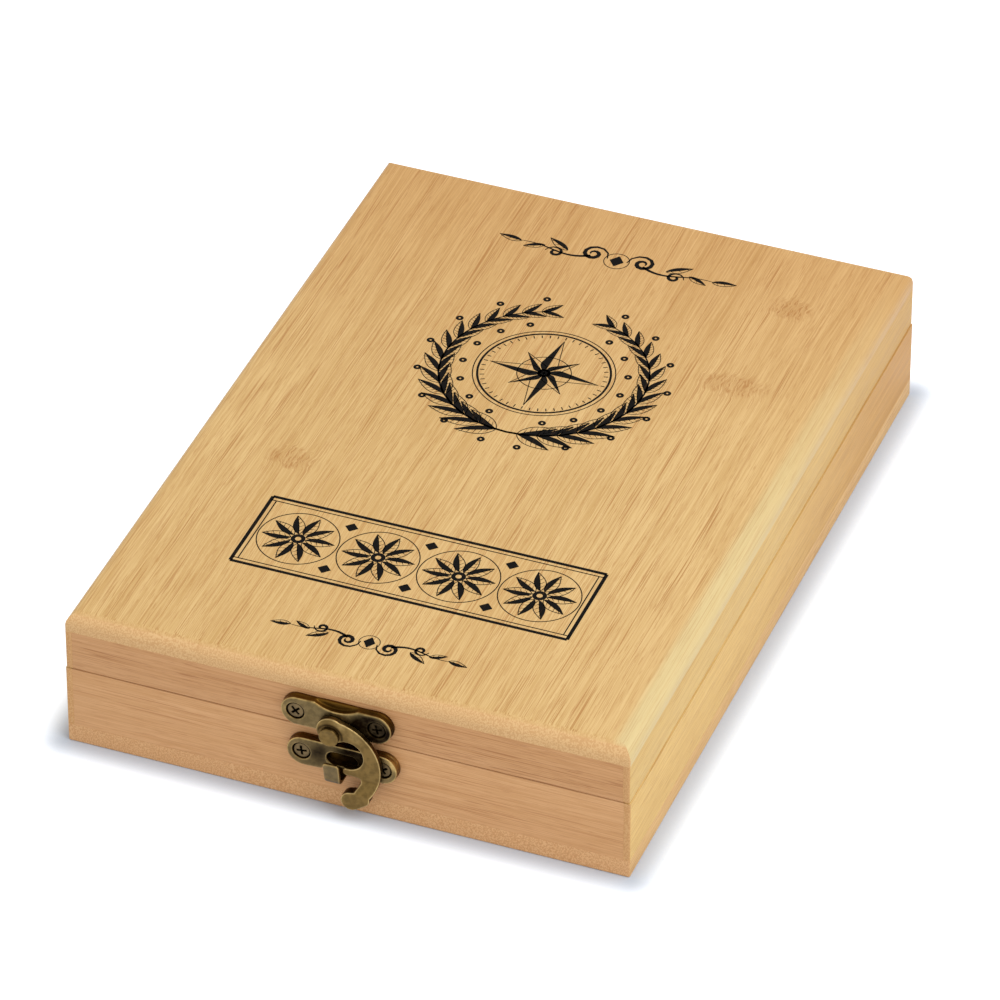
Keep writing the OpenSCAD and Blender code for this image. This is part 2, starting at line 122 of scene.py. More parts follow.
# Bamboo in depth: fibres run along Y, so that a cut across them shows as speckle by itself
def bambooGroup():
    group, given, result = newGroup("bambooGrain", {
        "Vector": (vectorSocket, (0, 0, 0)),
        "Wood": (colourSocket, seen(222, 178, 120)),
        "Fibre": (colourSocket, seen(168, 112, 60)),
        "End": (colourSocket, seen(236, 196, 146)),
        "Strip": (floatSocket, 0.018),
        "Contrast": (floatSocket, 1.0),
        "End Mask": (floatSocket, 0.0),
        "Speckle": (floatSocket, 0.75),
        "Knuckle": (floatSocket, 0.0),
    }, {"Color": colourSocket, "Roughness": floatSocket, "Height": floatSocket})
    place = add(group, "ShaderNodeSeparateXYZ", {0: given["Vector"]}).outputs
    sway = calc(group, "MULTIPLY", spots(group, given["Vector"], 0.03, 0.12), 0.004)
    wriggle = calc(group, "MULTIPLY", spots(group, given["Vector"], 0.0022, 0.0022), given["Knuckle"])
    across = calc(group, "MULTIPLY_ADD", wriggle, 0.0015, calc(group, "ADD", place[0], sway))
    stripNumber = calc(group, "FLOOR", calc(group, "DIVIDE", across, given["Strip"]))
    chance = add(group, "ShaderNodeTexWhiteNoise", {"W": stripNumber}, noise_dimensions="1D").outputs[0]
    slid = calc(group, "MULTIPLY_ADD", chance, 0.4, place[1])
    grain = add(group, "ShaderNodeCombineXYZ", {0: across, 1: slid, 2: place[2]}).outputs[0]
    fine = remap(group, spots(group, grain, 0.00034, 0.026, 1.0), 0.36, 0.64, -0.5, 0.5)
    medium = remap(group, spots(group, grain, 0.0010, 0.09), 0.32, 0.68, -0.5, 0.5)
    broad = remap(group, spots(group, grain, 0.008, 0.25, 1.0), 0.30, 0.70, -0.5, 0.5)
    clump = remap(group, spots(group, grain, 0.0034, 0.12, 1.0), 0.42, 0.64, 0.25, 1.0)
    hair = calc(group, "MULTIPLY", remap(group, spots(group, grain, 0.00033, 0.032, 1.0), 0.55, 0.65), clump)
    fleck = remap(group, spots(group, grain, 0.00030, 0.0065), 0.56, 0.68)
    dash = remap(group, spots(group, grain, 0.00046, 0.0040, 1.0), 0.50, 0.64)
    dots = remap(group, spots(group, grain, 0.00042, 0.03), 0.42, 0.58)
    tone = calc(group, "MULTIPLY", fine, 0.18)
    tone = calc(group, "MULTIPLY_ADD", medium, 0.08, tone)
    tone = calc(group, "MULTIPLY_ADD", broad, 0.06, tone)
    tone = calc(group, "MULTIPLY_ADD", calc(group, "SUBTRACT", chance, 0.5), 0.07, tone)
    tone = calc(group, "MULTIPLY", tone, given["Contrast"])
    # where the wood is darker it is also warmer: red = 1 + 0.75 tone, green = 1 + 1.1 tone, blue = 1 + 1.7 tone
    red, green, blue = (calc(group, "MULTIPLY_ADD", tone, share, 1.0) for share in (0.75, 1.1, 1.7))
    wood = scaled(group, given["Wood"], add(group, "ShaderNodeCombineXYZ", {0: red, 1: green, 2: blue}).outputs[0])
    dark = calc(group, "MAXIMUM", calc(group, "MULTIPLY", hair, 0.74), calc(group, "MULTIPLY", fleck, 0.42))
    dark = calc(group, "MULTIPLY", dark, given["Contrast"])
    knuckle = calc(group, "MULTIPLY", given["Knuckle"], calc(group, "MULTIPLY_ADD", dash, 0.56, 0.20))
    dark = calc(group, "MAXIMUM", dark, knuckle)
    wood = blendColour(group, dark, wood, given["Fibre"])
    bundle = scaled(group, given["End"], (0.85, 0.73, 0.60))
    pith = scaled(group, given["End"], (1.10, 1.16, 1.15))
    cutEnd = blendColour(group, calc(group, "MULTIPLY", dots, given["Speckle"]), pith, bundle)
    group.links.new(blendColour(group, given["End Mask"], wood, cutEnd), result["Color"])
    rough = calc(group, "MULTIPLY_ADD", fine, 0.10, 0.50)
    rough = calc(group, "MULTIPLY_ADD", given["End Mask"], 0.12, rough)
    group.links.new(rough, result["Roughness"])
    height = calc(group, "SUBTRACT", calc(group, "MULTIPLY", fine, 0.6), hair)
    height = calc(group, "MULTIPLY_ADD", calc(group, "MULTIPLY", given["Knuckle"], dash), -1.5, height)
    group.links.new(height, result["Height"])
    return group


# How far a face looks along the grain: 1 where the boards are cut across
def endMaskGroup():
    group, given, result = newGroup("cutAcross", {
        "Normal": (vectorSocket, (0, 0, 1)),
        "Grain": (vectorSocket, (0, 1, 0)),
        "Start": (floatSocket, 0.30),
        "Full": (floatSocket, 0.80),
    }, {"Mask": floatSocket})
    along = add(group, "ShaderNodeVectorMath", {0: given["Normal"], 1: given["Grain"]},
                operation="DOT_PRODUCT").outputs[1]
    group.links.new(remap(group, calc(group, "ABSOLUTE", along), given["Start"], given["Full"]), result["Mask"])
    return group


# A patch where the cane's knuckle crosses a strip, with a ragged outline
def knuckleGroup():
    group, given, result = newGroup("caneKnuckle", {
        "Vector": (vectorSocket, (0, 0, 0)),
        "Centre": (vectorSocket, (0, 0, 0)),
        "Half Width": (floatSocket, 0.01),
        "Half Length": (floatSocket, 0.003),
    }, {"Mask": floatSocket})
    away = add(group, "ShaderNodeVectorMath", {0: given["Vector"], 1: given["Centre"]},
               operation="SUBTRACT").outputs[0]
    part = add(group, "ShaderNodeSeparateXYZ", {0: away}).outputs
    ragged = calc(group, "MULTIPLY_ADD", spots(group, given["Vector"], 0.0016, 0.004), 1.6, -0.8)
    across = calc(group, "DIVIDE", part[0], given["Half Width"])
    along = calc(group, "ADD", calc(group, "DIVIDE", part[1], given["Half Length"]), ragged)
    reach = calc(group, "SQRT", calc(group, "ADD", calc(group, "POWER", calc(group, "ABSOLUTE", across), 2.0),
                                     calc(group, "POWER", calc(group, "ABSOLUTE", along), 2.0)))
    group.links.new(remap(group, reach, 1.1, 0.55), result["Mask"])
    return group


# Cast brass with a brown patina in the low places and rubbed rims. The same masks also carry painted shade (dark walls,
# dark patches beside and under the hook) and painted highlights
def brassGroup():
    group, given, result = newGroup("antiquedBrass", {
        "Vector": (vectorSocket, (0, 0, 0)),
        "Metal": (colourSocket, seen(150, 138, 100)),
        "Rubsheencolour": (colourSocket, seen(226, 205, 150)),
        "Patinashadecolour": (colourSocket, seen(60, 44, 22)),
        "Side": (colourSocket, seen(108, 82, 38)),
        "Rubsheen": (floatSocket, 0.0),
        "Deep": (floatSocket, 0.0),
        "Wallshade": (floatSocket, 0.0),
    }, {"Color": colourSocket, "Roughness": floatSocket, "Height": floatSocket})
    cloud = remap(group, spots(group, given["Vector"], 0.0017, 0.0017, 3.0), 0.35, 0.65)
    grit = spots(group, given["Vector"], 0.00018, 0.00018)
    metal = scaled(group, given["Metal"], calc(group, "MULTIPLY_ADD", cloud, 0.40, 0.80))
    # painted shade: the walls beside the broad face take the darker side colour
    metal = blendColour(group, given["Wallshade"], metal, given["Side"])
    # rubbed rims, with painted highlights where the casting adds highlight spots
    rubsheen = calc(group, "MULTIPLY", given["Rubsheen"], calc(group, "MULTIPLY_ADD", cloud, 0.5, 0.6), clamp=True)
    metal = blendColour(group, rubsheen, metal, given["Rubsheencolour"])
    # patina in the hollows, and painted shade and dark reflection where the casting adds shade spots, rings and darker
    # screws
    deep = calc(group, "MULTIPLY", given["Deep"], calc(group, "MULTIPLY_ADD", cloud, -0.16, 1.04), clamp=True)
    group.links.new(blendColour(group, deep, metal, given["Patinashadecolour"]), result["Color"])
    rough = calc(group, "MULTIPLY_ADD", cloud, 0.10, 0.34)
    rough = calc(group, "MULTIPLY_ADD", given["Deep"], 0.25, rough)
    rough = calc(group, "MULTIPLY_ADD", given["Rubsheen"], -0.08, rough)
    group.links.new(rough, result["Roughness"])
    group.links.new(grit, result["Height"])
    return group


groups = {
    "bamboo": bambooGroup(),
    "endMask": endMaskGroup(),
    "knuckle": knuckleGroup(),
    "brass": brassGroup(),
}
print("shader groups made:", len(groups))

# Bamboo finishes. Grain "x" runs side to side and "y" front to back. Knuckles are (x, y, half width), mm
bambooLooks = {
    "bambooTop": {
        "grain": "y", "wood": (223, 184, 122), "fibre": (180, 122, 62), "end": (226, 181, 129),
        "strip": 0.021, "contrast": 1.0, "shift": (0.0, 0.0, 0.0), "start": 0.08, "full": 0.45, "gloss": 0.22,
        # edge highlight: the x range, in mm, of a painted highlight band along the right rounded edge
        "speckle": 0.60, "knuckles": [(54, 48.5, 13), (57, 91, 8), (-53, -31, 9)], "edgeHighlight": (79.0, 90.0),
        "towardsBack": (-0.02, 0.16), "backWood": (213, 165, 104),
    },
    "bambooFloor": {
        "grain": "y", "wood": (222, 179, 119), "fibre": (176, 120, 62), "end": (221, 172, 124),
        "strip": 0.023, "contrast": 1.0, "shift": (0.31, 0.12, 0.2), "start": 0.30, "full": 0.80, "gloss": 0.25,
        "speckle": 0.75, "knuckles": [(-30, 60, 11), (38, -22, 12), (-62, -80, 8)], "edgeHighlight": None, "towardsBack": None, "backWood": None,
    },
    # the base and the lid have their own copies of the front and side looks, set apart in tone partly as painted shade
    # for how light falls on each body
    "bambooFront": {
        "grain": "x", "wood": (222, 170, 118), "fibre": (184, 124, 75), "end": (214, 166, 114),
        "strip": 0.015, "contrast": 0.8, "shift": (0.1, 0.55, 0.3), "start": 0.30, "full": 0.80, "gloss": 0.25,
        "speckle": 0.75, "knuckles": [], "edgeHighlight": None, "towardsBack": None, "backWood": None,
    },
    "bambooFrontLid": {
        "grain": "x", "wood": (214, 161, 110), "fibre": (166, 106, 60), "end": (214, 166, 114),
        "strip": 0.015, "contrast": 0.9, "shift": (0.6, 0.15, 0.9), "start": 0.30, "full": 0.80, "gloss": 0.25,
        "speckle": 0.75, "knuckles": [], "edgeHighlight": None, "towardsBack": None, "backWood": None,
    },
    "bambooSide": {
        "grain": "y", "wood": (234, 196, 126), "fibre": (188, 132, 70), "end": (215, 166, 116),
        "strip": 0.017, "contrast": 0.75, "shift": (0.7, 0.25, 0.6), "start": 0.30, "full": 0.80, "gloss": 0.12,
        "speckle": 0.6, "knuckles": [], "edgeHighlight": None, "towardsBack": (-0.07, 0.17), "backWood": (208, 155, 88),
    },
    "bambooSideLid": {
        "grain": "y", "wood": (229, 193, 124), "fibre": (192, 138, 72), "end": (215, 166, 116),
        "strip": 0.017, "contrast": 0.75, "shift": (0.2, 0.85, 0.1), "start": 0.30, "full": 0.80, "gloss": 0.12,
        "speckle": 0.6, "knuckles": [], "edgeHighlight": None, "towardsBack": (-0.03, 0.14), "backWood": (214, 169, 99),
    },
}
seamAt = (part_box("base_front")[1][2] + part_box("lid_front")[0][2]) / 2


def bambooMaterial(name, look):
    material, tree, shader = newMaterial(name)
    where = add(tree, "ShaderNodeTexCoord").outputs
    turn = math.radians(90) if look["grain"] == "x" else 0.0
    laid = add(tree, "ShaderNodeMapping", {
        "Vector": where["Object"], "Rotation": (0, 0, turn), "Location": look["shift"],
    }).outputs[0]
    axis = (1, 0, 0) if look["grain"] == "x" else (0, 1, 0)
    ends = add(tree, "ShaderNodeGroup", node_tree=groups["endMask"])
    tree.links.new(where["Normal"], ends.inputs["Normal"])
    ends.inputs["Grain"].default_value = axis
    ends.inputs["Start"].default_value = look["start"]
    ends.inputs["Full"].default_value = look["full"]
    knuckles = 0.0
    for x, y, halfWidth in look["knuckles"]:
        patch = add(tree, "ShaderNodeGroup", node_tree=groups["knuckle"])
        tree.links.new(where["Object"], patch.inputs["Vector"])
        patch.inputs["Half Width"].default_value = halfWidth * mm
        patch.inputs["Half Length"].default_value = 0.0056
        flat = add(tree, "ShaderNodeCombineXYZ", {0: x * mm, 1: y * mm, 2: 0.0}).outputs[0]
        tree.links.new(flat, patch.inputs["Centre"])
        knuckles = calc(tree, "MAXIMUM", patch.outputs[0], knuckles)
    wood = seen(*look["wood"])
    contrast = look["contrast"]
    upright = add(tree, "ShaderNodeSeparateXYZ", {0: where["Normal"]}).outputs[2]
    if look["edgeHighlight"]:
        # painted highlight: a soft pale band along the top's right rounded edge, fading towards the back
        part = add(tree, "ShaderNodeSeparateXYZ", {0: where["Object"]}).outputs
        wander = calc(tree, "MULTIPLY_ADD", spots(tree, where["Object"], 0.02, 0.08), 0.0022, part[0])
        low, high = (edge * mm for edge in look["edgeHighlight"])
        highlightBand = calc(tree, "MULTIPLY", remap(tree, wander, low, low + 0.0036),
                      remap(tree, wander, high, high - 0.0026))
        highlightBand = calc(tree, "MULTIPLY", highlightBand, remap(tree, part[1], -0.13, 0.12, 0.90, 0.65))
        wood = blendColour(tree, highlightBand, wood, seen(230, 207, 150))
        contrast = calc(tree, "MULTIPLY_ADD", highlightBand, -0.75 * contrast, contrast)
    if look["towardsBack"]:
        # the wood is a little browner towards the back
        depth = add(tree, "ShaderNodeSeparateXYZ", {0: where["Object"]}).outputs[1]
        wood = blendColour(tree, remap(tree, depth, *look["towardsBack"]), wood, seen(*look["backWood"]))
    # dust and shade gather along the seam, on the walls beside it but not on the mating faces
    level = add(tree, "ShaderNodeSeparateXYZ", {0: where["Object"]}).outputs[2]
    seam = remap(tree, calc(tree, "ABSOLUTE", calc(tree, "SUBTRACT", level, seamAt)), 0.00042, 0.00014)
    seam = calc(tree, "MULTIPLY", seam, remap(tree, calc(tree, "ABSOLUTE", upright), 0.97, 0.80))
    grain = add(tree, "ShaderNodeGroup", node_tree=groups["bamboo"])
    for label, value in {
        "Vector": laid, "Wood": wood, "Fibre": seen(*look["fibre"]), "End": seen(*look["end"]),
        "Strip": look["strip"], "Contrast": contrast, "End Mask": ends.outputs[0], "Knuckle": knuckles,
        "Speckle": look["speckle"],
    }.items():
        if isinstance(value, bpy.types.NodeSocket):
            tree.links.new(value, grain.inputs[label])
        else:
            grain.inputs[label].default_value = value
    bump = add(tree, "ShaderNodeBump", {"Height": grain.outputs["Height"], "Strength": 0.35, "Distance": 0.00006})
    shown = blendColour(tree, calc(tree, "MULTIPLY", seam, 0.35), grain.outputs["Color"], seen(110, 70, 36))
    tree.links.new(shown, shader.inputs["Base Color"])
    tree.links.new(grain.outputs["Roughness"], shader.inputs["Roughness"])
    tree.links.new(bump.outputs[0], shader.inputs["Normal"])
    shader.inputs["Specular IOR Level"].default_value = look["gloss"]
    return material


# side is the dark colour painted on the walls beside the broad face as shade
brassLooks = {
    "brassPlate": {"metal": (103, 86, 55), "rubsheencolour": (180, 150, 94), "patinashadecolour": (18, 8, 2), "side": (92, 63, 18)},
    "brassHook": {"metal": (106, 84, 46), "rubsheencolour": (190, 162, 108), "patinashadecolour": (26, 12, 4), "side": (78, 52, 16)},
    "brassScrew": {"metal": (108, 90, 62), "rubsheencolour": (170, 146, 102), "patinashadecolour": (16, 8, 3), "side": (70, 48, 18)},
    "brassHinge": {"metal": (132, 112, 70), "rubsheencolour": (196, 172, 118), "patinashadecolour": (40, 26, 10), "side": (90, 64, 26)},
}


def brassMaterial(name, look):
    material, tree, shader = newMaterial(name)
    where = add(tree, "ShaderNodeTexCoord").outputs["Object"]
    finish = add(tree, "ShaderNodeGroup", node_tree=groups["brass"])
    tree.links.new(where, finish.inputs["Vector"])
    for label in ("metal", "rubsheencolour", "patinashadecolour", "side"):
        finish.inputs[label.capitalize()].default_value = seen(*look[label])
    for label in ("rubsheen", "deep", "wallshade"):
        wearAndLight = add(tree, "ShaderNodeAttribute", attribute_name=label).outputs["Fac"]
        tree.links.new(wearAndLight, finish.inputs[label.capitalize()])
    bump = add(tree, "ShaderNodeBump", {"Height": finish.outputs["Height"], "Strength": 0.25, "Distance": 0.00004})
    tree.links.new(finish.outputs["Color"], shader.inputs["Base Color"])
    tree.links.new(finish.outputs["Roughness"], shader.inputs["Roughness"])
    tree.links.new(bump.outputs[0], shader.inputs["Normal"])
    shader.inputs["Metallic"].default_value = 1.0
    return material


def inkMaterial():
    material, tree, shader = newMaterial("printInk")
    where = add(tree, "ShaderNodeTexCoord").outputs["Object"]
    thin = remap(tree, spots(tree, where, 0.0005, 0.012), 0.62, 0.78)
    tree.links.new(blendColour(tree, calc(tree, "MULTIPLY", thin, 0.35), seen(12, 9, 7), seen(84, 58, 34)),
                   shader.inputs["Base Color"])
    tree.links.new(calc(tree, "MULTIPLY_ADD", thin, 0.1, 0.55), shader.inputs["Roughness"])
    shader.inputs["Specular IOR Level"].default_value = 0.05
    return material


materials = {name: bambooMaterial(name, look) for name, look in bambooLooks.items()}
materials.update({name: brassMaterial(name, look) for name, look in brassLooks.items()})
materials["printInk"] = inkMaterial()
print("materials made:", ", ".join(materials))


# Faces between the rows of a grid of points; closed joins its last column to its first
def gridFaces(rows, columns, closed=True):
    row, column = np.meshgrid(np.arange(rows - 1), np.arange(columns if closed else columns - 1), indexing="ij")
    after = (column + 1) % columns
    corners = [row * columns + column, row * columns + after, (row + 1) * columns + after, (row + 1) * columns + column]
    return np.stack(corners, -1).reshape(-1, 4)


# Puts arrays into a mesh. Faces wider than flatOver square metres stay flat, the rest are smooth
def newPiece(name, points, faces, material, body, stands=(), slot=None, flatOver=0.00002):
    mesh = bpy.data.meshes.new(name)
    mesh.from_pydata(np.asarray(points, float).reshape(-1, 3).tolist(), [], [list(map(int, face)) for face in faces])
    mesh.update()
    areas = np.zeros(len(mesh.polygons))
    mesh.polygons.foreach_get("area", areas)
    mesh.polygons.foreach_set("use_smooth", areas < flatOver)
    mesh.set_sharp_from_angle(angle=math.radians(35))
    piece = bpy.data.objects.new(name, mesh)
    bpy.context.scene.collection.objects.link(piece)
    mesh.materials.append(materials[material])
    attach(piece, body)
    if stands:
        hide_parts(*stands)
    return piece


def corners(node):
    low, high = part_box(node)
    return np.array(low), np.array(high)


# Outline of a board moved inward by inset. Each corner is an arc from one edge to the next, whose
# radius shrinks with the inset: point = mitred corner + radius * (arc point - where the edges meet)
def boardOutline(plan, radii, inset, steps=4):
    plan = np.asarray(plan, float)
    radii = np.maximum(np.asarray(radii, float) - inset, 0.0)
    before = plan - np.roll(plan, 1, 0)
    after = np.roll(plan, -1, 0) - plan
    before /= np.linalg.norm(before, axis=1, keepdims=True)
    after /= np.linalg.norm(after, axis=1, keepdims=True)
    inBefore = np.stack([-before[:, 1], before[:, 0]], 1)
    inAfter = np.stack([-after[:, 1], after[:, 0]], 1)
    mitre = plan + inset * (inBefore + inAfter)
    bend = (before[:, 0] * after[:, 1] - before[:, 1] * after[:, 0])[:, None]
    centre = mitre + radii[:, None] * (inBefore + inAfter) * np.sign(bend)
    angle = np.linspace(0, math.pi / 2, steps + 1)[None, :, None]
    out = -inBefore[:, None] * np.sign(bend)[:, None]
    spin = after[:, None] * 0 + out * np.cos(angle) + before[:, None] * np.sin(angle)
    return (centre[:, None] + radii[:, None, None] * spin).reshape(-1, 2)


# A flat board: its outline carried up a profile, which is a quarter circle at the foot, a straight
# wall and a quarter circle at the top
def board(name, plan, radii, low, high, easeLow, easeHigh, steps=4, **where):
    angle = np.linspace(0, math.pi / 2, steps + 1)
    insets = np.concatenate([easeLow * (1 - np.sin(angle)), easeHigh * (1 - np.cos(angle))])
    levels = np.concatenate([low + easeLow * (1 - np.cos(angle)), high - easeHigh * (1 - np.sin(angle))])
    rings = [np.column_stack([flat := boardOutline(plan, radii, inset), np.full(len(flat), level)])
             for inset, level in zip(insets, levels)]
    around = len(rings[0])
    faces = gridFaces(len(rings), around).tolist()
    faces.append(list(range(around))[::-1])
    faces.append([around * (len(rings) - 1) + number for number in range(around)])
    return newPiece(name, np.concatenate(rings), faces, **where)


# Cuts boxes out of a piece, given as lowest and highest corners
def carve(piece, boxes):
    for low, high in boxes:
        bpy.ops.mesh.primitive_cube_add(size=1)
        cutter = bpy.context.object
        cutter.location = (np.array(low) + high) / 2
        cutter.scale = np.array(high) - low
        cut = piece.modifiers.new("cut", "BOOLEAN")
        cut.object = cutter
        cut.solver = "EXACT"
        bpy.context.view_layer.update()
        shown = piece.evaluated_get(bpy.context.evaluated_depsgraph_get())
        carved = bpy.data.meshes.new_from_object(shown)
        piece.modifiers.clear()
        piece.data = carved
        bpy.data.objects.remove(cutter)


# Eased edges of the boards, in metres
easing = {"outer": 0.5 * mm, "rim": 0.22 * mm, "joint": 0.07 * mm, "round": 4.2 * mm, "printLift": 0.03 * mm}


def rectangle(low, high):
    return [(low[0], low[1]), (high[0], low[1]), (high[0], high[1]), (low[0], high[1])]


def woodenBox():
    outer, rim, joint = easing["outer"], easing["rim"], easing["joint"]
    low, high = corners("base_floor")
    board("floorPanel", rectangle(low, high), [outer] * 4, low[2], high[2], outer, joint,
          material="bambooFloor", body="base", stands=["base_floor"], slot="bamboo_board")
    low, high = corners("lid_top")
    board("topPanel", rectangle(low, high), [outer] * 4, low[2], high[2] - easing["printLift"], joint,
          easing["round"], steps=16, material="bambooTop", body="lid", stands=["lid_top"], slot="bamboo_panel")
    for body in ("base", "lid"):
        seamUp = body == "base"
        eases = (joint, rim) if seamUp else (rim, joint)
        for end in ("front", "back"):
            low, high = corners(f"{body}_{end}")
            cross = board(f"{body}{end.capitalize()}Board", rectangle(low, high), [joint] * 4, low[2], high[2],
                          *eases, material="bambooFront" if seamUp else "bambooFrontLid", body=body, stands=[f"{body}_{end}"], slot="bamboo_board")
            if end == "back":
                beds = []
                for side in ("left", "right"):
                    leafLow, leafHigh = corners(f"hinge_{side}_{body}_leaf")
                    floor = high[2] if seamUp else low[2]
                    leaf = 0.9 * mm if seamUp else -0.9 * mm
                    bedLow = (leafLow[0], leafLow[1], min(floor - leaf, floor) - (0 if seamUp else 1 * mm))
                    bedHigh = (leafHigh[0], high[1] + 1 * mm, max(floor - leaf, floor) + (1 * mm if seamUp else 0))
                    beds.append((bedLow, bedHigh))
                carve(cross, beds)
        depth = np.array(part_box(f"{body}_front")[1])[1] - np.array(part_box(f"{body}_front")[0])[1]
        for side in ("left", "right"):
            low, high = corners(f"{body}_{side}")
            lipEdge = corners(f"{body}_front")[0 if side == "left" else 1][0]
            front, back = low[1] + depth, high[1] - depth
            if side == "left":
                plan = [(low[0], low[1]), (lipEdge, low[1]), (lipEdge, front), (high[0], front),
                        (high[0], back), (lipEdge, back), (lipEdge, high[1]), (low[0], high[1])]
                radii = [outer, joint, joint, joint, joint, joint, joint, outer]
            else:
                plan = [(lipEdge, low[1]), (high[0], low[1]), (high[0], high[1]), (lipEdge, high[1]),
                        (lipEdge, back), (low[0], back), (low[0], front), (lipEdge, front)]
                radii = [joint, outer, outer, joint, joint, joint, joint, joint]
            board(f"{body}{side.capitalize()}Board", plan, radii, low[2], high[2], *eases,
                  material="bambooSide" if seamUp else "bambooSideLid", body=body, stands=[f"{body}_{side}"], slot="bamboo_board")


woodenBox()
print("boards and panels made")


# Mean of each vertex's neighbours, from the list of edges
def neighbourMean(points, edges, degree):
    summed = np.stack([
        np.bincount(edges.ravel(), weights=points[edges[:, ::-1].ravel(), axis], minlength=len(points))
        for axis in range(3)
    ], 1)
    return summed / degree[:, None]


# A piece cast in a mould: the exact solid is rebuilt in small even quads, and each pass moves every
# vertex half way to the mean of its neighbours, so that edges go round. How far further passes
# would still move a vertex along its normal tells a rim, to be rubbed bright, from a hollow.
# "face" is the axis that the broad face looks along, and the walls beside it are painted dark as shade, as is all that
# lies behind "level".
# Shade spots are patches of painted shade and dark reflection beside and under the hook, and highlight spots are
# patches of painted highlight, both as (x, z, reach, strength); rings are (x, z, radius), dark rings of patina with
# painted shade round screw heads and the pivot; all in mm
castings = {
    "latch_plate": {
        "voxel": 0.14, "passes": 7, "material": "brassPlate", "body": "lid", "slot": "antique_brass", "face": 1,
        "level": -124.8, "walls": 0.95,
        "shadeSpots": [(5.0, 31.0, 3.0, 1.4), (8.0, 33.4, 3.8, 1.8), (12.2, 31.6, 3.6, 1.8), (-3.0, 32.6, 2.2, 0.6)],
        "rings": [(-13.7, 33.0, 2.75), (10.7, 33.0, 2.75)], "highlightSpots": [(-16.4, 33.0, 1.6, 0.3)],
        "eased": [(-8.0, 36.8, 2.4), (5.0, 36.8, 2.4)],
    },
    "keeper_plate": {
        "voxel": 0.14, "passes": 6, "material": "brassPlate", "body": "base", "slot": "antique_brass", "face": 1,
        "level": -124.8, "walls": 0.95,
        "shadeSpots": [(2.5, 21.8, 3.6, 1.4), (6.4, 20.4, 2.8, 1.2), (-6.4, 20.8, 3.6, 0.7), (-1.8, 14.0, 3.0, 0.45),
                   (3.4, 18.0, 3.2, 0.9), (-8.0, 17.8, 3.6, 0.35)],
        "rings": [(-12.1, 19.2, 2.75), (12.3, 19.2, 2.75)], "highlightSpots": [(15.6, 21.4, 1.9, 0.9)],
        "eased": [(-6.4, 15.4, 2.4), (6.6, 15.4, 2.4)],
    },
    "latch_hook": {
        "voxel": 0.13, "passes": 13, "material": "brassHook", "body": "hook", "slot": "worn_brass", "face": 1,
        "level": None, "walls": 0.85, "shadeSpots": [(-2.6, 24.6, 1.6, 0.4)], "rings": [(-2.6, 28.7, 3.7)],
        "highlightSpots": [(0.5, 33.0, 1.8, 0.25), (5.2, 30.4, 1.8, 0.25), (-1.6, 8.6, 2.0, 0.2)],
        "eased": [],
    },
}
for side in ("left", "right"):
    for body in ("base", "lid"):
        castings[f"hinge_{side}_{body}_leaf"] = {
            "voxel": 0.16, "passes": 3, "material": "brassHinge", "body": body, "slot": "antique_brass",
            "face": 2, "level": None, "walls": 0.3, "shadeSpots": [], "rings": [], "highlightSpots": [], "eased": [],
        }


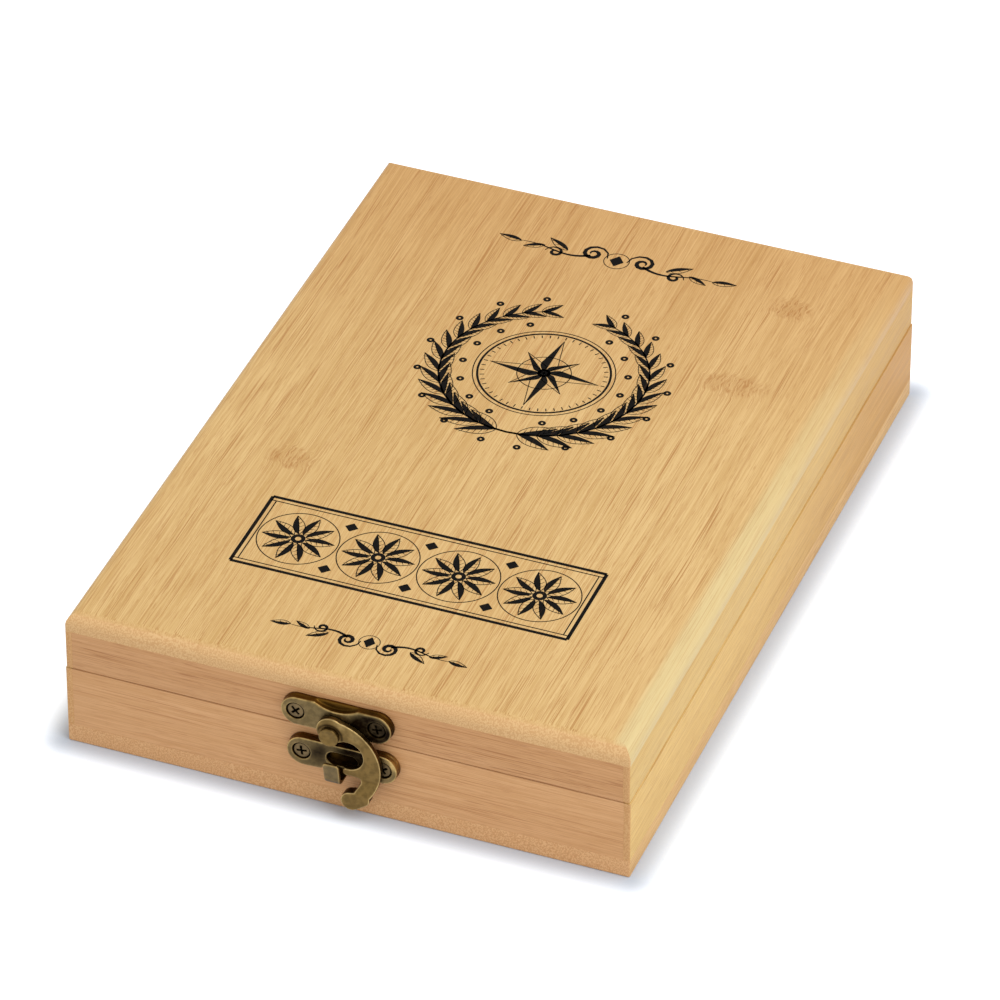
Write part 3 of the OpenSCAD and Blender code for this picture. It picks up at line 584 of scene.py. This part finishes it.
def casting(node, made):
    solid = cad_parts[node]
    copy = bpy.data.objects.new(node + "_cast", solid.data.copy())
    bpy.context.scene.collection.objects.link(copy)
    remesh = copy.modifiers.new("even", "REMESH")
    remesh.mode = "VOXEL"
    remesh.voxel_size = made["voxel"] * mm
    bpy.context.view_layer.update()
    mesh = bpy.data.meshes.new_from_object(copy.evaluated_get(bpy.context.evaluated_depsgraph_get()))
    copy.modifiers.clear()
    copy.data = mesh
    count = len(mesh.vertices)
    points = np.zeros(count * 3)
    mesh.vertices.foreach_get("co", points)
    points = points.reshape(-1, 3)
    edges = np.zeros(len(mesh.edges) * 2, int)
    mesh.edges.foreach_get("vertices", edges)
    edges = edges.reshape(-1, 2)
    degree = np.bincount(edges.ravel(), minlength=count)
    for turn in range(made["passes"]):
        points = (points + neighbourMean(points, edges, degree)) / 2
    # corners of the outline are eased by passes that fade with the distance from (x, z)
    for atX, atZ, reach in made["eased"]:
        near = np.exp(-((points[:, 0] / mm - atX) ** 2 + (points[:, 2] / mm - atZ) ** 2) / reach ** 2)[:, None]
        for turn in range(32):
            points += near * (neighbourMean(points, edges, degree) - points) / 2
    proud = np.zeros(count, bool)
    if made["level"] is not None:
        # what stands well out of the face, such as the tongue, is rounder
        proud = points[:, 1] < (made["level"] - 1.2) * mm
        for turn in range(16):
            points = np.where(proud[:, None], (points + neighbourMean(points, edges, degree)) / 2, points)
    mesh.vertices.foreach_set("co", points.ravel())
    mesh.update()
    normals = np.zeros(count * 3)
    mesh.vertices.foreach_get("normal", normals)
    normals = normals.reshape(-1, 3)
    evened = points.copy()
    for turn in range(14):
        evened = (evened + neighbourMean(evened, edges, degree)) / 2
    bulge = ((points - evened) * normals).sum(1) / (made["voxel"] * mm)
    for turn in range(70):
        evened = (evened + neighbourMean(evened, edges, degree)) / 2
    hollow = ((evened - points) * normals).sum(1) / (made["voxel"] * mm)
    # painted shade on the walls beside the face: (0.8 - |normal along the face's axis|) / 0.5, from 0 on the face to 1
    # on the walls
    wallshade = np.clip((0.8 - np.abs(normals[:, made["face"]])) / 0.5, 0, 1)
    rubsheen = np.clip(bulge * 2.6 - 0.25, 0, 1)
    x, y, z = points.T / mm
    behind = np.zeros(count)
    # all that lies behind the level, towards the wood, gets the same painted shade
    if made["level"] is not None:
        behind = np.clip((y - made["level"] - 0.3) / 0.7, 0, 1)
        wallshade = np.maximum(wallshade, behind)
        rubsheen *= 1 - behind
    deep = np.maximum(-bulge * 3.0, hollow * 0.8) * (1 - 0.6 * behind)
    # painted shade = strength * exp(-(distance / reach)^2) round each spot, and patina with painted shade across each
    # ring's line
    for atX, atZ, reach, strength in made["shadeSpots"]:
        shadeSpot = strength * np.exp(-((x - atX) ** 2 + (z - atZ) ** 2) / reach ** 2) * (y < -122)
        deep += shadeSpot
        rubsheen *= 1 - 0.4 * np.clip(shadeSpot, 0, 1)
    # painted highlights: each spot brightens the metal and lifts the dark off its walls
    for atX, atZ, reach, strength in made["highlightSpots"]:
        wearAndLight = strength * np.exp(-((x - atX) ** 2 + (z - atZ) ** 2) / reach ** 2)
        rubsheen = np.clip(rubsheen + wearAndLight, 0, 1)
        wallshade *= 1 - wearAndLight
    for atX, atZ, radius in made["rings"]:
        ring = np.exp(-((np.hypot(x - atX, z - atZ) - radius) / 0.42) ** 2)
        deep += 0.75 * ring
        rubsheen *= 1 - 0.8 * ring
    deep = np.clip(deep, 0, 1) * (1 - 0.8 * rubsheen) * (1 - 0.8 * proud)
    for label, values in (("rubsheen", rubsheen), ("deep", deep), ("wallshade", wallshade * made["walls"])):
        layer = mesh.attributes.new(label, "FLOAT", "POINT")
        layer.data.foreach_set("value", np.clip(values, 0, 1).astype(np.float32))
    mesh.polygons.foreach_set("use_smooth", np.ones(len(mesh.polygons), bool))
    mesh.materials.clear()
    mesh.materials.append(materials[made["material"]])
    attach(copy, made["body"])
    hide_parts(node)
    return copy


for node, made in castings.items():
    casting(node, made)
print("castings made:", len(castings))


# A turned piece: a profile of (radius, height) carried round its axis. The axis points along
# "out" from "centre"; "first" is the direction of angle zero
def turned(profile, centre, out, first, around=64, sink=None):
    profile = np.asarray(profile, float)
    angle = np.linspace(0, 2 * math.pi, around, endpoint=False)
    radius, height = profile[:, 0][:, None], profile[:, 1][:, None]
    across, along = radius * np.cos(angle), radius * np.sin(angle)
    height = height + np.zeros_like(across)
    if sink is not None:
        height = height - sink(across, along)
    out, first = np.asarray(out, float), np.asarray(first, float)
    second = np.cross(out, first)
    points = (np.asarray(centre) + across[..., None] * first + along[..., None] * second
              + height[..., None] * out)
    faces = gridFaces(len(profile), around).tolist()
    faces.append(list(range(around))[::-1])
    faces.append([around * (len(profile) - 1) + number for number in range(around)])
    return points.reshape(-1, 3), faces


# Screws: a flat head with a cross recess whose floor deepens towards the middle
screwLooks = {
    "latch": {"head": 2.4, "shank": 1.0, "taper": 1.4, "arm": 1.45, "width": 0.30, "depth": 0.9, "dome": 0.18,
              "rings": 40, "around": 96},
    "hinge": {"head": 1.55, "shank": 0.7, "taper": 0.85, "arm": 0.95, "width": 0.20, "depth": 0.5, "dome": 0.05,
              "rings": 20, "around": 64},
}


def screwArrays(look, centre, out, first, length, turn):
    # height(r) = dome * (1 - (r / head)^2) on the head, minus the recess:
    # depth * max over both arms of step(width - distance from the arm) * step(arm - distance along it)
    head, shank, taper = look["head"], look["shank"], look["taper"]
    radii = np.linspace(head * 0.97, 0.02, look["rings"])
    top = [(radius, look["dome"] * (1 - (radius / head) ** 2)) for radius in radii]
    profile = np.array([(0.02, -length), (shank * 0.5, -length + 0.5), (shank, -length + 1.4), (shank, -taper),
                        (head * 0.96, -0.12), (head, -0.05)] + top) * mm
    rows = len(profile) - len(top)

    def recess(across, along):
        spin = np.radians(turn)
        one = (across * np.cos(spin) + along * np.sin(spin)) / mm
        two = (-across * np.sin(spin) + along * np.cos(spin)) / mm
        edge = 0.07
        masks = []
        for far, near in ((one, two), (two, one)):
            masks.append(np.clip((look["width"] - np.abs(near)) / edge + 0.5, 0, 1)
                         * np.clip((look["arm"] - np.abs(far)) / (4 * edge) + 0.5, 0, 1))
        dip = look["depth"] * np.maximum(*masks) * (1 - 0.35 * np.hypot(one, two) / look["arm"])
        dip[:rows] = 0
        return np.clip(dip, 0, None) * mm

    angle = np.linspace(0, 2 * math.pi, look["around"], endpoint=False)
    radius = profile[:, 0][:, None]
    # darker in the cross recess and round the head's rim: patina, with painted shade
    dark = recess(radius * np.cos(angle), radius * np.sin(angle)) / (0.3 * look["depth"] * mm)
    dark += 0.5 * (radius > head * 0.93 * mm)
    return *turned(profile, centre, out, first, look["around"], recess), dark.ravel()


# The last number of each place is how much darker that screw is drawn: patina, and on the screw under the hook's edge
# painted shade
def screwSet(name, places, look, body, node, slot):
    points, faces, shades = [], [], []
    for number, (centre, out, first, length, turn, darkening) in enumerate(places):
        somePoints, someFaces, dark = screwArrays(look, centre, out, first, length, turn)
        start = number * len(somePoints)
        points.append(somePoints)
        shades.append(np.clip(dark + darkening, 0, 1))
        faces += [[start + corner for corner in face] for face in someFaces]
    piece = newPiece(name, np.concatenate(points), faces, "brassScrew", body, stands=[node], slot=slot, flatOver=1)
    layer = piece.data.attributes.new("deep", "FLOAT", "POINT")
    layer.data.foreach_set("value", np.concatenate(shades).astype(np.float32))
    return piece


def latchScrews(name, node, body, turns, darkenings):
    # a head's face lies where the exact one does, at the front of the node's box
    low, high = corners(node)
    look = screwLooks["latch"]
    middle = (low[2] + high[2]) / 2
    places = []
    for x, turn, darkening in zip((low[0] + look["head"] * mm, high[0] - look["head"] * mm), turns, darkenings):
        centre = (x, low[1] + look["dome"] * mm, middle)
        places.append((centre, (0, -1, 0), (1, 0, 0), 8.7, turn, darkening))
    return screwSet(name, places, look, body, node, "worn_brass")


# the second latch screw sits in the hook's shade and is painted dark
latchScrews("latchScrewPair", "latch_screws", "lid", (42, 12), (0.1, 0.84))
latchScrews("keeperScrewPair", "keeper_screws", "base", (8, 30), (0.15, 0.25))


def hingeScrews(name, node, body, up):
    low, high = corners(node)
    leafLow, leafHigh = corners(f"hinge_left_{body}_leaf")
    rightLow = corners(f"hinge_right_{body}_leaf")[0]
    look = screwLooks["hinge"]
    y = (low[1] + high[1]) / 2
    face = low[2] if up else high[2]
    inset = low[0] + 1.6 * mm - leafLow[0]
    places = []
    for start in (leafLow[0], rightLow[0]):
        for x in (start + inset, start + (leafHigh[0] - leafLow[0]) - inset):
            out = (0, 0, -1) if up else (0, 0, 1)
            centre = (x, y, face - out[2] * look["dome"] * mm)
            places.append((centre, out, (1, 0, 0), 5.9, 20 + 37 * len(places), 0.1))
    return screwSet(name, places, look, body, node, "worn_brass")


hingeScrews("hingeBaseScrewSet", "hinge_base_screws", "base", False)
hingeScrews("hingeLidScrewSet", "hinge_lid_screws", "lid", True)


# The rivet's head has a turned rim and a faint dimple; its shank ends in the plate
def rivet():
    low, high = corners("latch_rivet")
    centre = ((low[0] + high[0]) / 2, low[1], (low[2] + high[2]) / 2)
    head = (high[0] - low[0]) / 2 / mm
    curve = np.linspace(0, math.pi / 2, 8)
    rim = [(head - 0.35 + 0.35 * np.sin(a), -0.35 + 0.35 * np.cos(a)) for a in curve[::-1]]
    dimple = [(radius, -0.10 * (1 - (radius / 2.2) ** 2)) for radius in np.linspace(2.2, 0.02, 12)]
    profile = np.array([(0.02, -5.4), (1.45, -5.4), (1.45, -1.12), (head - 0.1, -1.1), (head, -1.0)] + rim + dimple)
    points, faces = turned(profile * mm, centre, (0, -1, 0), (1, 0, 0), 96)
    newPiece("rivetHead", points, faces, "brassHook", "lid", stands=["latch_rivet"], slot="worn_brass", flatOver=1)


def hingePins():
    for side in ("left", "right"):
        low, high = corners(f"hinge_{side}_pin")
        radius = (high[2] - low[2]) / 2
        length = high[0] - low[0]
        curve = np.linspace(0, math.pi / 2, 7)
        cap = radius * 0.45
        start = [(max(radius * np.sin(a), 0.00002), cap * (1 - np.cos(a))) for a in curve]
        profile = np.array(start + [(r, length - h) for r, h in start[::-1]])
        centre = (low[0], (low[1] + high[1]) / 2, (low[2] + high[2]) / 2)
        points, faces = turned(profile, centre, (1, 0, 0), (0, 1, 0), 32)
        newPiece(f"hinge{side.capitalize()}Pin", points, faces, "brassHinge", "base",
                 stands=[f"hinge_{side}_pin"], slot="worn_brass", flatOver=1)


rivet()
hingePins()
print("screws, rivet and pins made")

# The printed ornament, in millimetres on the lid: a stroke is a path with a half width at each point
samples = 18
along = np.linspace(0, 1, samples)


def stroke(x, y, half):
    path = np.stack(np.broadcast_arrays(x, y), -1)
    return path, np.broadcast_to(half, path.shape[:-1])


def joined(strokes):
    paths = np.concatenate([path.reshape(-1, samples, 2) for path, half in strokes])
    halves = np.concatenate([half.reshape(-1, samples) for path, half in strokes])
    return paths, halves


# Copies strokes to many places: each is turned by its angle, sized and moved
def placed(strokes, angles, centres, sizes=1.0, flip=1.0):
    paths, halves = strokes
    angles, sizes = np.broadcast_arrays(np.atleast_1d(np.asarray(angles, float)), np.asarray(sizes, float))
    cosine, sine = np.cos(angles), np.sin(angles)
    x, y = paths[..., 0], paths[..., 1] * flip
    turnedX = sizes[:, None, None] * (x * cosine[:, None, None] - y * sine[:, None, None])
    turnedY = sizes[:, None, None] * (x * sine[:, None, None] + y * cosine[:, None, None])
    centres = np.broadcast_to(np.asarray(centres, float), (len(angles), 2))
    path = np.stack([turnedX + centres[:, 0, None, None], turnedY + centres[:, 1, None, None]], -1)
    return path.reshape(-1, samples, 2), (halves * np.sqrt(sizes)[:, None, None]).reshape(-1, samples)


# A leaf from the origin along X: its edge is width * sin(pi * t^0.8). One half is solid and the other
# is an outline with hatching
def leaf(length, width, hatches=5):
    belly = width * np.sin(math.pi * along ** 0.8)
    bend = 0.10 * length * along ** 2
    parts = [
        stroke(length * along, bend + belly / 2, belly / 2 + 0.04),
        stroke(length * along, bend - belly, 0.13),
        stroke(length * along, bend, 0.10),
    ]
    for part in np.linspace(0.18, 0.78, hatches):
        reach = width * math.sin(math.pi * part ** 0.8)
        root = length * part
        lift = 0.10 * length * part ** 2
        parts.append(stroke(root + 0.12 * length * along, lift - reach * 0.92 * along, 0.09 * (1.2 - along)))
    return joined(parts)


def ring(radius, half, pieces=8):
    start = np.linspace(0, 2 * math.pi, pieces, endpoint=False)[:, None]
    angle = start + along[None, :] * 2 * math.pi / pieces * 1.01
    return stroke(radius * np.cos(angle), radius * np.sin(angle), half)


# A scroll: radius = start * e^(-tightness * angle), its line thickest in the middle
def scroll(start, turns, tightness, half):
    angle = along * 2 * math.pi * turns
    radius = start * np.exp(-tightness * angle)
    return stroke(start - radius * np.cos(angle), radius * np.sin(angle), half * (0.35 + np.sin(math.pi * along)))


def star(outer, inner, count, turn=0.0):
    # each ray is split down its middle: one side solid, the other an outline
    parts = []
    solid = joined([
        stroke(outer * along, inner * 0.5 * (1 - along) * np.minimum(along * 4, 1), inner * 0.5 * (1 - along)
               * np.minimum(along * 4, 1) + 0.03),
        stroke(outer * along, -inner * (1 - along) * np.minimum(along * 4, 1), 0.12),
    ])
    parts.append(placed(solid, turn + np.linspace(0, 2 * math.pi, count, endpoint=False), (0, 0)))
    return joined(parts)


ornament = {
    "wreathAt": (0, 34), "wreathRadius": 31, "leaves": 15, "leafLength": 11.5, "leafWidth": 1.9,
    "friezeAt": (0, -66), "friezeHalf": (51, 16), "rosettes": 4, "petals": 10,
    "topScrollAt": (0, 95), "footScrollAt": (0, -103),
}


def wreath():
    radius = ornament["wreathRadius"]
    count = ornament["leaves"]
    sweep = np.radians(np.linspace(-84, 68, count))
    centres = radius * np.stack([np.cos(sweep), np.sin(sweep)], 1)
    sizes = np.linspace(1.05, 0.62, count)
    shape = leaf(ornament["leafLength"], ornament["leafWidth"])
    parts = [
        placed(shape, sweep + math.pi / 2 - 0.55, centres, sizes),
        placed(shape, sweep + math.pi / 2 + 0.55, centres, sizes, flip=-1.0),
    ]
    stem = np.radians(-100 + 172 * along)
    parts.append(stroke(radius * np.cos(stem), radius * np.sin(stem), 0.42 - 0.26 * along))
    berries = radius * 1.0 + 6.3 * np.where(np.arange(count) % 2, -1, 1)
    berrySweep = sweep + 0.045
    berryAt = np.stack([berries * np.cos(berrySweep), berries * np.sin(berrySweep)], 1)
    parts.append(placed(joined([ring(0.75, 0.42)]), np.zeros(count), berryAt))
    half = joined(parts)
    mirrored = (half[0] * (-1, 1), half[1])
    mirrored = (mirrored[0][:, ::-1], mirrored[1][:, ::-1])
    middle = joined([
        star(17, 3.6, 4), star(11.5, 2.7, 4, math.pi / 4), ring(19.6, 0.34, 16), ring(21.0, 0.16, 16),
        ring(8.0, 0.14, 8), ring(1.5, 0.5, 6),
        placed(joined([stroke(17.6 + 1.3 * along, 0 * along, 0.16)]), np.radians(np.arange(0, 360, 7.5)), (0, 0)),
    ])
    return placed(joined([half, mirrored, middle]), 0.0, ornament["wreathAt"])


def frieze():
    wide, high = ornament["friezeHalf"]
    parts = []
    for level, half in ((high, 0.55), (high - 1.7, 0.18), (-high, 0.55), (-high + 1.7, 0.18)):
        parts.append(stroke((2 * along - 1) * wide, level + 0 * along, half))
    for side in (-1, 1):
        for step, half in ((0, 0.55), (1.7, 0.18)):
            parts.append(stroke(side * (wide - step) + 0 * along, (2 * along - 1) * (high - step), half))
    count = ornament["rosettes"]
    spacing = 2 * (wide - 2) / count
    middles = (np.arange(count) - (count - 1) / 2) * spacing
    petal = leaf(8.6, 1.75, 4)
    for x in middles:
        turns = np.linspace(0, 2 * math.pi, ornament["petals"], endpoint=False)
        heads = 2.2 * np.stack([np.cos(turns), np.sin(turns)], 1)
        flower = joined([placed(petal, turns, heads), ring(1.5, 0.62, 6), ring(11.9, 0.16, 12)])
        parts.append(placed(flower, 0.0, (x, 0)))
    lozenge = joined([
        stroke(2.0 * (2 * along - 1), 0 * along, 2.0 * (1 - np.abs(2 * along - 1)) + 0.03),
    ])
    between = (np.arange(count + 1) - count / 2) * spacing
    for level in (-1, 1):
        spotsAt = np.stack([between[1:-1], np.full(count - 1, level * (high - 5.6))], 1)
        parts.append(placed(lozenge, np.zeros(count - 1), spotsAt))
    return placed(joined(parts), 0.0, ornament["friezeAt"])


def scrollBand(size, centre, flip):
    big = scroll(5.2, 1.6, 0.16, 0.55)
    small = scroll(3.4, 1.4, 0.18, 0.42)
    tail = stroke(9.0 + 26 * along, -3.0 * np.sin(math.pi * along * 1.5) * (1 - along), 0.5 * (1.1 - along))
    sprig = leaf(9.0, 1.5, 3)
    half = joined([
        placed(joined([big]), 0.2, (3.4, 0.4)), placed(joined([small]), math.pi, (24, -2.2), flip=-1.0),
        placed(joined([tail]), 0.0, (0, 0)), placed(sprig, 0.45, (17, 0.2)), placed(sprig, -0.5, (25, 0.4), 0.8),
        placed(sprig, 0.05, (33, 0.0), 0.9),
    ])
    mirrored = ((half[0] * (-1, 1))[:, ::-1], half[1][:, ::-1])
    gem = joined([
        stroke(2.4 * (2 * along - 1), 0 * along, 2.9 * (1 - np.abs(2 * along - 1)) + 0.03),
        ring(4.2, 0.14, 8),
    ])
    return placed(joined([half, mirrored, gem]), 0.0, centre, size, flip)


# Each stroke becomes a thin closed ribbon: left and right of its path, above and below its middle
def printed():
    paths, halves = joined([
        wreath(), frieze(), scrollBand(0.92, ornament["topScrollAt"], 1.0),
        scrollBand(0.72, ornament["footScrollAt"], -1.0),
    ])
    heading = np.gradient(paths, axis=1)
    heading /= np.maximum(np.linalg.norm(heading, axis=-1, keepdims=True), 1e-9)
    sideways = np.stack([-heading[..., 1], heading[..., 0]], -1) * np.maximum(halves, 0.03)[..., None]
    top = np.array(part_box("lid_top")[1])[2]
    under = top - 2 * easing["printLift"]
    left, right = (paths + sideways) * mm, (paths - sideways) * mm
    level = np.ones(paths.shape[:2] + (1,))
    rings = np.stack([
        np.concatenate([left, level * top], -1), np.concatenate([right, level * top], -1),
        np.concatenate([right, level * under], -1), np.concatenate([left, level * under], -1),
    ], 2)
    count = len(paths)
    starts = (np.arange(count) * samples * 4)[:, None, None]
    walls = (gridFaces(samples, 4)[None] + starts).reshape(-1, 4)
    caps = np.array([[0, 3, 2, 1], [samples * 4 - 4, samples * 4 - 3, samples * 4 - 2, samples * 4 - 1]])
    ends = (caps[None] + starts).reshape(-1, 4)
    piece = newPiece("lidPrint", rings.reshape(-1, 3), np.concatenate([walls, ends]), "printInk", "lid",
                     slot="bamboo_panel", flatOver=0.0)
    print("print strokes:", count)
    return piece


printed()

# The pale floor under the box. To the camera and in reflections it is lifted to white, except close to
# the box's foot, where the lift fades out and a cooler, darker tone shows as a painted contact shadow
studio = {
    "floorSize": 6.0, "floorTone": (0.80, 0.81, 0.83), "shadowTone": (0.59, 0.65, 0.74), "lift": 0.82,
    "contact": 13 * mm, "sky": 0.66,
    "keyAt": (0.95, -0.34, 1.70), "keySize": 1.3, "keyPower": 17.6,
}


def whiteShare(tree):
    path = add(tree, "ShaderNodeLightPath").outputs
    both = calc(tree, "MAXIMUM", path["Is Camera Ray"], path["Is Glossy Ray"])
    return calc(tree, "MAXIMUM", both, path["Is Transmission Ray"])


def makeStudio():
    half = studio["floorSize"] / 2
    mesh = bpy.data.meshes.new("floor")
    mesh.from_pydata([(-half, -half, 0), (half, -half, 0), (half, half, 0), (-half, half, 0)], [], [(0, 1, 2, 3)])
    floor = bpy.data.objects.new("floor", mesh)
    bpy.context.scene.collection.objects.link(floor)
    floor.location.z = -0.02 * mm
    material = bpy.data.materials.new("paleFloor")
    material.use_nodes = True
    tree = material.node_tree
    tree.nodes.clear()
    # painted contact shadow: the lift fades out close to the box's foot: distance = length of max(|x, y| - half the
    # foot, 0)
    low, high = corners("base_floor")
    place = add(tree, "ShaderNodeVectorMath", {
        0: add(tree, "ShaderNodeTexCoord").outputs["Object"], 1: (*((low + high) / 2)[:2].tolist(), 0),
    }, operation="SUBTRACT").outputs[0]
    past = add(tree, "ShaderNodeVectorMath", {
        0: add(tree, "ShaderNodeVectorMath", {0: place}, operation="ABSOLUTE").outputs[0],
        1: (*((high - low) / 2)[:2].tolist(), 1),
    }, operation="SUBTRACT").outputs[0]
    past = add(tree, "ShaderNodeVectorMath", {0: past, 1: (0, 0, 0)}, operation="MAXIMUM").outputs[0]
    distance = add(tree, "ShaderNodeVectorMath", {0: past}, operation="LENGTH").outputs["Value"]
    lift = calc(tree, "MULTIPLY", remap(tree, distance, 0.0, studio["contact"]), studio["lift"])
    tone = blendColour(tree, whiteShare(tree), (*studio["floorTone"], 1), (*studio["shadowTone"], 1))
    matt = add(tree, "ShaderNodeBsdfDiffuse", {"Color": tone})
    glow = add(tree, "ShaderNodeEmission", {
        "Color": (1, 1, 1, 1), "Strength": calc(tree, "MULTIPLY", whiteShare(tree), lift),
    })
    both = add(tree, "ShaderNodeAddShader", {0: matt.outputs[0], 1: glow.outputs[0]})
    add(tree, "ShaderNodeOutputMaterial", {0: both.outputs[0]})
    mesh.materials.append(material)

    world = bpy.data.worlds.new("studio")
    bpy.context.scene.world = world
    world.use_nodes = True
    tree = world.node_tree
    tree.nodes.clear()
    white = whiteShare(tree)
    strength = remap(tree, white, 0.0, 1.0, studio["sky"], 1.0)
    background = add(tree, "ShaderNodeBackground", {"Color": (1, 1, 1, 1), "Strength": strength})
    add(tree, "ShaderNodeOutputWorld", {0: background.outputs[0]})

    lamp = bpy.data.lights.new("key", "AREA")
    lamp.energy = studio["keyPower"]
    lamp.size = studio["keySize"]
    key = bpy.data.objects.new("key", lamp)
    bpy.context.scene.collection.objects.link(key)
    key.location = studio["keyAt"]
    back = np.array(studio["keyAt"])
    aim = -back / np.linalg.norm(back)
    key.rotation_mode = "QUATERNION"
    key.rotation_quaternion = Vector(aim).to_track_quat("-Z", "Y")


makeStudio()

# The camera stands where the photograph was taken from
shot = {
    "azimuth": 21.115, "elevation": 36.996, "distance": 2.1426, "lens": 264.7,
    "target": (0, 0, 0.0226), "slideRight": -0.000659, "slideUp": -0.00004,
}


def makeCamera():
    turn, rise = math.radians(shot["azimuth"]), math.radians(shot["elevation"])
    right = np.array([math.cos(turn), math.sin(turn), 0])
    back = np.array([math.sin(turn) * math.cos(rise), -math.cos(turn) * math.cos(rise), math.sin(rise)])
    up = np.cross(back, right)
    place = (np.array(shot["target"]) + shot["slideRight"] * right + shot["slideUp"] * up
             + shot["distance"] * back)
    data = bpy.data.cameras.new("camera")
    data.lens = shot["lens"]
    data.sensor_width = 36
    data.clip_end = 20
    camera = bpy.data.objects.new("camera", data)
    bpy.context.scene.collection.objects.link(camera)
    matrix = np.eye(4)
    matrix[:3, 0], matrix[:3, 1], matrix[:3, 2], matrix[:3, 3] = right, up, back, place
    camera.matrix_world = Matrix(matrix.tolist())
    bpy.context.scene.camera = camera


makeCamera()
bpy.context.scene.view_settings.view_transform = "Standard"
print("studio and camera set")
